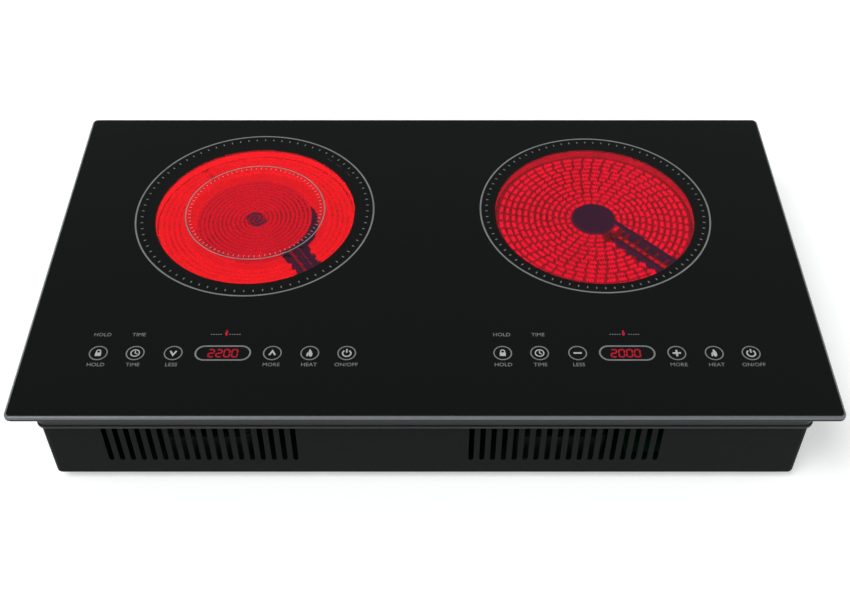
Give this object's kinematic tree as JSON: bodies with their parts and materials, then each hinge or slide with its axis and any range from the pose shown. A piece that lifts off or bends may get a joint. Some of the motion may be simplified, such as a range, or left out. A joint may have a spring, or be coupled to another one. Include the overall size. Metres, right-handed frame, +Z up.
{
  "type": "double infrared hob",
  "caption": "Low black hob: a wide glass panel over a vented sheet-steel case, round radiant burners glowing through the glass, touch keys and number displays along the front.",
  "frame": {"origin": "centre of the glass panel in plan, at the surface the feet stand on", "axes": "+X to the user's right along the panel, +Y to the rear, +Z up"},
  "size_m": [0.7, 0.4, 0.104],
  "materials": {
    "bare_aluminium": "extruded",
    "black_coated_steel": "satin black powder coat",
    "black_glass": "polished black glass, dark red tint where lit from below",
    "black_nylon": "moulded nylon",
    "black_plastic": "moulded, matt",
    "black_rubber": "matt moulded rubber",
    "black_silicone": "matt silicone bead",
    "bright_steel": "aluminised steel sheet",
    "circuit_board": "solder mask",
    "copper_winding": "enamelled copper winding",
    "dark_sleeve": "printed sleeve left plain",
    "display_block": "epoxy-filled display block",
    "heating_wire": "red-hot resistance wire",
    "indicator_red": "tinted lens",
    "mineral_insulation": "pressed fibre, matt",
    "plated_steel": "zinc plated",
    "quartz_rod": "sleeved rod, satin",
    "touch_foam": "conductive foam",
    "white_ceramic": "steatite, matt",
    "wire_sleeve": "silicone-glass sleeve"
  },
  "bodies": {
    "case": {"base_plate": "black_coated_steel", "base_screws": "plated_steel", "board_screws": "plated_steel", "board_standoffs": "plated_steel", "cable_gland": "black_nylon", "control_indicators": "indicator_red", "control_left_board": "circuit_board", "control_left_carrier": "black_plastic", "control_left_display": "display_block", "control_left_touch_pads": "touch_foam", "control_right_board": "circuit_board", "control_right_carrier": "black_plastic", "control_right_display": "display_block", "control_right_touch_pads": "touch_foam", "fan_left_frame": "black_plastic", "fan_left_stator": "copper_winding", "fan_right_frame": "black_plastic", "fan_right_stator": "copper_winding", "fan_screws": "plated_steel", "foot_screws": "plated_steel", "frame_screws": "plated_steel", "gland_nut": "black_nylon", "glass_panel": "black_glass", "glass_seal": "black_silicone", "heater_left_bracket": "bright_steel", "heater_left_inner_coil": "heating_wire", "heater_left_insulation": "mineral_insulation", "heater_left_limiter_rod": "quartz_rod", "heater_left_limiter_switch": "white_ceramic", "heater_left_outer_coil": "heating_wire", "heater_left_pan": "bright_steel", "heater_left_rim": "mineral_insulation", "heater_left_terminal": "white_ceramic", "heater_right_bracket": "bright_steel", "heater_right_coil": "heating_wire", "heater_right_hub": "white_ceramic", "heater_right_insulation": "mineral_insulation", "heater_right_limiter_rod": "quartz_rod", "heater_right_limiter_switch": "white_ceramic", "heater_right_pan": "bright_steel", "heater_right_rim": "mineral_insulation", "heater_right_terminal": "white_ceramic", "heater_wires": "wire_sleeve", "housing_shell": "black_coated_steel", "mains_terminal": "black_nylon", "mains_wires": "wire_sleeve", "power_left_board": "circuit_board", "power_left_capacitors": "dark_sleeve", "power_left_heatsink": "bare_aluminium", "power_left_transformer": "copper_winding", "power_right_board": "circuit_board", "power_right_capacitors": "dark_sleeve", "power_right_heatsink": "bare_aluminium", "power_right_transformer": "copper_winding", "rubber_feet": "black_rubber", "top_frame": "black_coated_steel"},
    "fan_left_rotor": {"fan_left_rotor": "black_plastic"},
    "fan_right_rotor": {"fan_right_rotor": "black_plastic"}
  },
  "joints": [
    {"name": "fan_left_spin", "type": "hinge", "parent": "case", "child": "fan_left_rotor", "pos_m": [-0.194, -0.126, 0.02], "axis": [0, 0, 1], "continuous": true},
    {"name": "fan_right_spin", "type": "hinge", "parent": "case", "child": "fan_right_rotor", "pos_m": [0.121, -0.126, 0.02], "axis": [0, 0, 1], "continuous": true}
  ]
}
